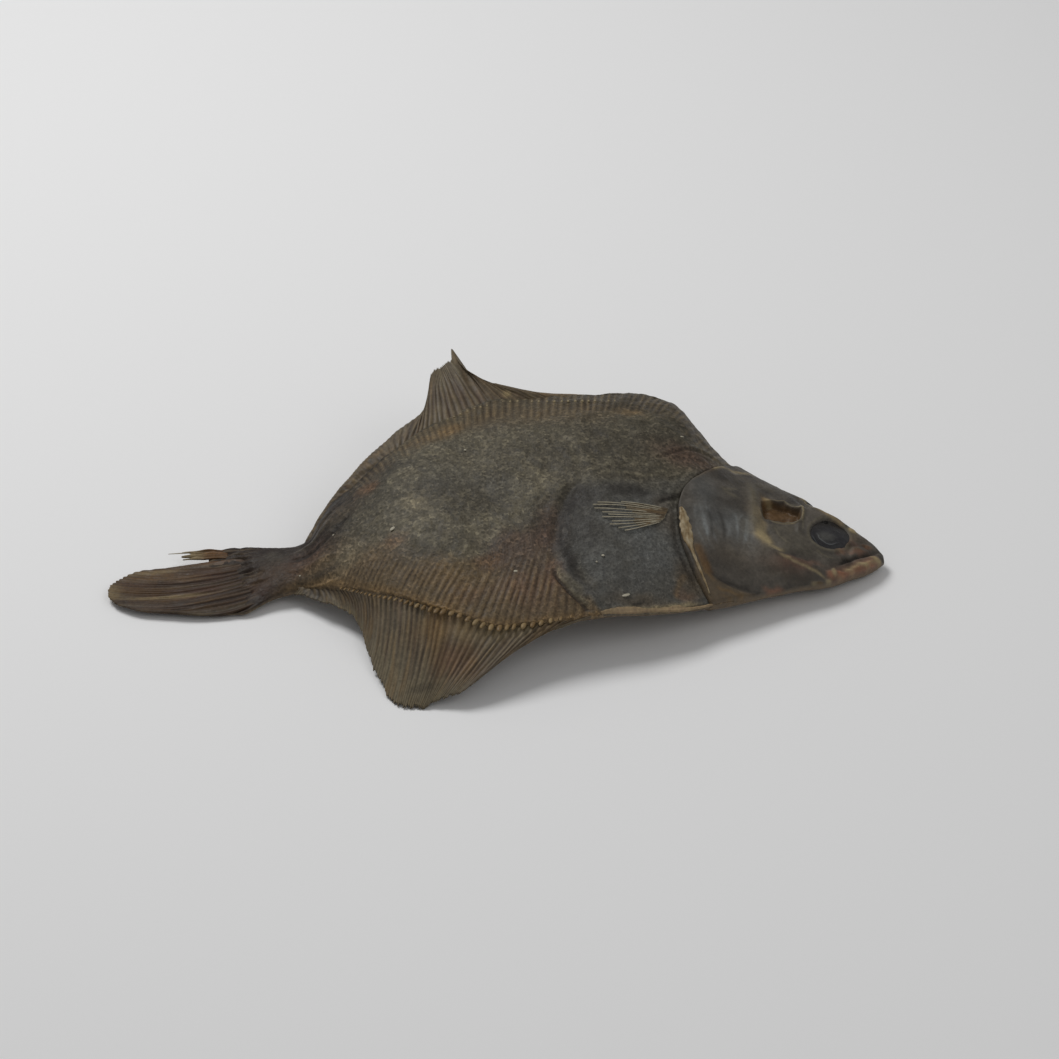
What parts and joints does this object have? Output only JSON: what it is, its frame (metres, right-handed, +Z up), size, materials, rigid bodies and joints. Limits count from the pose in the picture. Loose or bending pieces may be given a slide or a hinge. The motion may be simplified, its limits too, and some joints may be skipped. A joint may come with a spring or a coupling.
{
  "type": "dried plaice",
  "caption": "Whole dried flatfish, eyed side up, dark and stiff, warped as it dried: arched oval body, fan tail, raised dorsal fin, drooping anal fin, hollow cheeks.",
  "frame": {"origin": "under the middle of the fish's bounding box, on the surface that the fish rests on", "axes": "+X from tail to snout, +Y towards the dorsal edge, +Z up out of the eyed side"},
  "size_m": [0.282, 0.162, 0.0401],
  "materials": {
    "skin": "matt, dark grey-brown dried fish skin, amber-brown on fins and tail"
  },
  "bodies": {
    "root": {"dried_plaice": "skin"}
  },
  "joints": []
}
